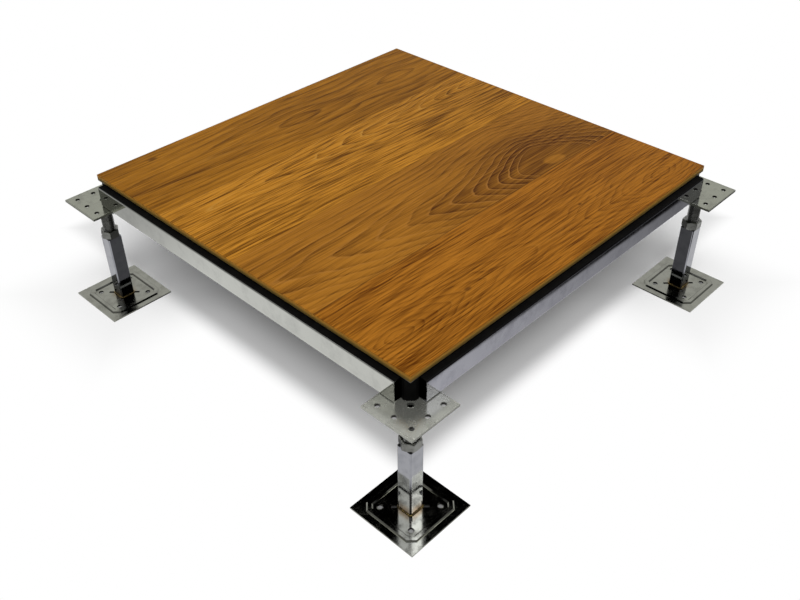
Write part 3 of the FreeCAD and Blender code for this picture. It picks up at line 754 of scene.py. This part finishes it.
# Pale floor, in metres. The camera sees it white beyond the shadow, with a painted shadow near the object and
# painted shade under the base plates and round the back pedestals; gloss finds a painted reflection of it,
# deeper in shade under the panel and dimmer towards the front, with a dark band across it there
floorForm = {"half": 9.0, "tone": 0.93, "plateHalf": 0.046, "underShadeTone": 0.30, "slotShadeTone": 0.05,
             "slotEdge": (0.0200, 0.0212), "shadeShift": 0.080, "shadeFarther": 0.10,
             "shadeInner": (0.255, 0.318), "shadeGlow": (0.036, 0.263), "shadeEdge": (0.318, 0.358),
             "haloDepth": 0.40, "haloReach": (0.05, 0.17), "haloFrom": (-0.45, -0.15),
             "mirrorEdge": (0.285, 0.350), "mirrorShade": 0.16,
             "dimEdge": (-0.415, -0.385), "frontSpan": (-0.15, 0.46), "frontTones": (0.76, 0.27),
             "leftSpan": (0.20, 0.55), "leftTones": (1.0, 0.55), "bandSlant": 0.0123, "bandEdge": 0.4480,
             "bandHalf": 0.016, "bandSoft": 0.002, "bandTone": 0.01, "bandMiddle": 0.17,
             "bandEnds": (0.46, 0.50)}
half = floorForm["half"]
floorMesh = bpy.data.meshes.new("floor")
floorCorners = [(-half, -half, 0), (half, -half, 0), (half, half, 0), (-half, half, 0)]
floorMesh.from_pydata(floorCorners, [], [(0, 1, 2, 3)])
floor = bpy.data.objects.new("floor", floorMesh)
bpy.context.scene.collection.objects.link(floor)
floorMaterial = bpy.data.materials.new("paleFloor")
floorMaterial.use_nodes = True
tree = floorMaterial.node_tree
tree.nodes.remove(tree.nodes["Principled BSDF"])


# First 1 for rays that see the background, from the camera, in gloss or through glass; then 1 for those in
# gloss or through glass alone
def seenRays(tree):
    path = put(tree, "ShaderNodeLightPath").outputs
    glossy = sums(tree, "MAXIMUM", path["Is Glossy Ray"], path["Is Transmission Ray"])
    return sums(tree, "MAXIMUM", path["Is Camera Ray"], glossy), glossy


place = put(tree, "ShaderNodeTexCoord").outputs["Object"]
x, y = axesOf(tree, place)[:2]
spreadX, spreadY = foldedAxes(tree, place)[:2]
# Painted shadow: the white share is held back in a box shifted towards +X +Y and reaching farther on those
# sides, least deep inside it, so the lamps' shadow shows there and darkens inwards
shift = floorForm["shadeShift"]
nearSides = sums(tree, "SUBTRACT", shift, sums(tree, "MINIMUM", x, y))
farSides = sums(tree, "SUBTRACT", sums(tree, "MAXIMUM", x, y), shift + floorForm["shadeFarther"])
beside = sums(tree, "MAXIMUM", nearSides, farSides)
inner = between(tree, beside, *floorForm["shadeInner"], *floorForm["shadeGlow"])
white = between(tree, beside, *floorForm["shadeEdge"], inner, 1.0)  # whitens from the shadow outwards
foot = sums(tree, "MAXIMUM", awayFrom(tree, spreadX, pedestalFar), awayFrom(tree, spreadY, pedestalFar))
# Painted shade round the two back pedestals: the white share drops there
haloShade = sums(tree, "MULTIPLY", between(tree, foot, *floorForm["haloReach"], 1.0, 0.0),
            between(tree, sums(tree, "ADD", x, y), *floorForm["haloFrom"]))  # none at the near pedestal
white = sums(tree, "MULTIPLY", white, sums(tree, "MULTIPLY_ADD", haloShade, -floorForm["haloDepth"], 1.0))
bare = sums(tree, "GREATER_THAN", foot, floorForm["plateHalf"])
# Painted shade on the floor under the base plates, deepest under the slots, seen through them and the holes
under = between(tree, foot, *floorForm["slotEdge"], floorForm["slotShadeTone"], floorForm["underShadeTone"])

# Painted reflection: gloss sees an emitted picture of the floor instead, shaded under the panel, dimmer in
# front of the panel and to its left, with a dark band across it in front
paintedReflection = between(tree, sums(tree, "MAXIMUM", spreadX, spreadY), *floorForm["mirrorEdge"],
                   floorForm["mirrorShade"], 1.0)
dimFront = dict(enumerate((x, *floorForm["frontSpan"], *floorForm["frontTones"])))
dimFront = put(tree, "ShaderNodeMapRange", dimFront).outputs[0]
dimFront = mixValue(tree, between(tree, y, *floorForm["dimEdge"]), dimFront, 1.0)
dimLeft = between(tree, y, *floorForm["leftSpan"], *floorForm["leftTones"])
dimLeft = mixValue(tree, between(tree, x, *floorForm["dimEdge"]), dimLeft, 1.0)
fromEdge = sums(tree, "SUBTRACT", sums(tree, "MULTIPLY", x, floorForm["bandSlant"]),
                sums(tree, "ADD", y, floorForm["bandEdge"]))
bandHalf, bandSoft = floorForm["bandHalf"], floorForm["bandSoft"]
band = between(tree, awayFrom(tree, fromEdge, bandHalf), bandHalf - bandSoft, bandHalf + bandSoft,
               floorForm["bandTone"], 1.0)
bandEnd = between(tree, awayFrom(tree, x, floorForm["bandMiddle"]), *floorForm["bandEnds"])
dim = sums(tree, "MULTIPLY", sums(tree, "MULTIPLY", dimFront, dimLeft), sums(tree, "MAXIMUM", band, bandEnd))
paintedReflection = sums(tree, "MULTIPLY", paintedReflection, dim)

# The floor glows for the camera, white beyond the painted shadow, and shows the painted reflection in gloss
seen, glossy = seenRays(tree)
glow = put(tree, "ShaderNodeEmission", {"Strength": mixValue(tree, glossy, 1.0, paintedReflection)})
plain = put(tree, "ShaderNodeBsdfDiffuse", {"Color": mixColour(tree, bare, under, grey(floorForm["tone"]))})
share = sums(tree, "MULTIPLY", seen, sums(tree, "MAXIMUM", white, glossy))
both = put(tree, "ShaderNodeMixShader", {0: sums(tree, "MULTIPLY", share, bare), 1: plain.outputs[0],
                                         2: glow.outputs[0]})
tree.links.new(both.outputs[0], tree.nodes["Material Output"].inputs["Surface"])
floorMesh.materials.append(floorMaterial)

# White world. The pale backdrop stands behind the object, at +X +Y, with a bright screen above it and a soft
# box high up on either side. Gloss alone finds them, and the dimmer room on the camera's side: they are
# painted reflections and highlights, which light nothing
roomForm = {"light": 0.28, "backdrop": (0.72, 0.69, 0.0), "aside": (0.69, -0.72, 0.0), "span": (0.20, 0.70),
            "tone": 0.30, "screenTone": 2.2, "screenSpan": (0.30, 0.45), "screenFoot": (0.62, 0.77),
            "screenSoft": 0.05, "screenSide": 0.03, "boxTones": (4.5, 10.0), "boxSpan": 0.1,
            "boxSide": (0.08, 0.11), "boxRise": 0.81, "boxHalf": (0.05, 0.07)}
world = bpy.data.worlds.new("studio")
world.use_nodes = True
bpy.context.scene.world = world
tree = world.node_tree
outward = put(tree, "ShaderNodeTexCoord").outputs["Generated"]
rise = axesOf(tree, outward)[2]
heading, aside = (put(tree, "ShaderNodeVectorMath", {0: outward, 1: roomForm[way]},
                      operation="DOT_PRODUCT").outputs["Value"] for way in ("backdrop", "aside"))
room = between(tree, heading, *roomForm["span"], roomForm["tone"], 1.0)
screenFoot = between(tree, heading, *roomForm["screenSpan"], *roomForm["screenFoot"])
screenShare = sums(tree, "MULTIPLY",
                   between(tree, sums(tree, "SUBTRACT", rise, screenFoot), 0.0, roomForm["screenSoft"]),
                   between(tree, heading, 0.0, roomForm["screenSide"]))
room = sums(tree, "MAXIMUM", room, sums(tree, "MULTIPLY", screenShare, roomForm["screenTone"]))
# Painted highlights: two soft boxes that gloss alone sees, brighter on one side
boxSide = between(tree, sums(tree, "ABSOLUTE", heading), *roomForm["boxSide"], 1.0, 0.0)
boxHigh = between(tree, awayFrom(tree, rise, roomForm["boxRise"]), *roomForm["boxHalf"], 1.0, 0.0)
boxShare = sums(tree, "MULTIPLY", boxSide, boxHigh)
boxTone = between(tree, aside, -roomForm["boxSpan"], roomForm["boxSpan"], *roomForm["boxTones"])
room = sums(tree, "MAXIMUM", room, sums(tree, "MULTIPLY", boxShare, boxTone))
seen, glossy = seenRays(tree)
strength = mixValue(tree, seen, roomForm["light"], mixValue(tree, glossy, 1.0, room))
tree.links.new(strength, tree.nodes["Background"].inputs["Strength"])
tree.nodes["Background"].inputs["Color"].default_value = grey(1.0)

lampForm = {"aim": (0, 0, 0.1), "topPower": 34.0, "topSize": 1.1, "topPlace": (-0.72, -0.72, 2.15),
            "sidePower": 4.0, "sideSize": 1.0, "sidePlaces": ((-2.0, 0.6, 1.2), (0.6, -2.0, 1.2))}


def softLamp(name, place, size, power):
    lamp = bpy.data.lights.new(name, "AREA")
    lamp.size, lamp.energy = size, power
    lampObject = bpy.data.objects.new(name, lamp)
    lampObject.location = place
    lampObject.rotation_euler = (Vector(lampForm["aim"]) - Vector(place)).to_track_quat("-Z", "Y").to_euler()
    lampObject.visible_glossy = False          # the plates mirror the room, not the lamp
    bpy.context.scene.collection.objects.link(lampObject)


softLamp("topLamp", lampForm["topPlace"], lampForm["topSize"], lampForm["topPower"])
for number, sidePlace in enumerate(lampForm["sidePlaces"]):
    softLamp("sideLamp%d" % number, sidePlace, lampForm["sideSize"], lampForm["sidePower"])

# Place in metres, roll in degrees, lens and sensor in mm
shot = {"place": (-0.81517, -0.78476, 0.86057), "look": (0.5661, 0.5486, -0.6152), "roll": -0.39,
        "lens": 41.70, "sensor": 36.0}
cameraData = bpy.data.cameras.new("camera")
cameraData.lens, cameraData.sensor_width, cameraData.sensor_fit = shot["lens"], shot["sensor"], "HORIZONTAL"
camera = bpy.data.objects.new("camera", cameraData)
look = Vector(shot["look"]).normalized()
right = look.cross(Vector((0, 0, 1))).normalized()
up = right.cross(look)
roll = math.radians(shot["roll"])
right, up = right * math.cos(roll) + up * math.sin(roll), up * math.cos(roll) - right * math.sin(roll)
camera.matrix_world = Matrix.Translation(shot["place"]) @ Matrix((right, up, -look)).transposed().to_4x4()
bpy.context.scene.collection.objects.link(camera)
bpy.context.scene.camera = camera
bpy.context.scene.view_settings.view_transform = "Standard"
print("floor, lamps and camera set")
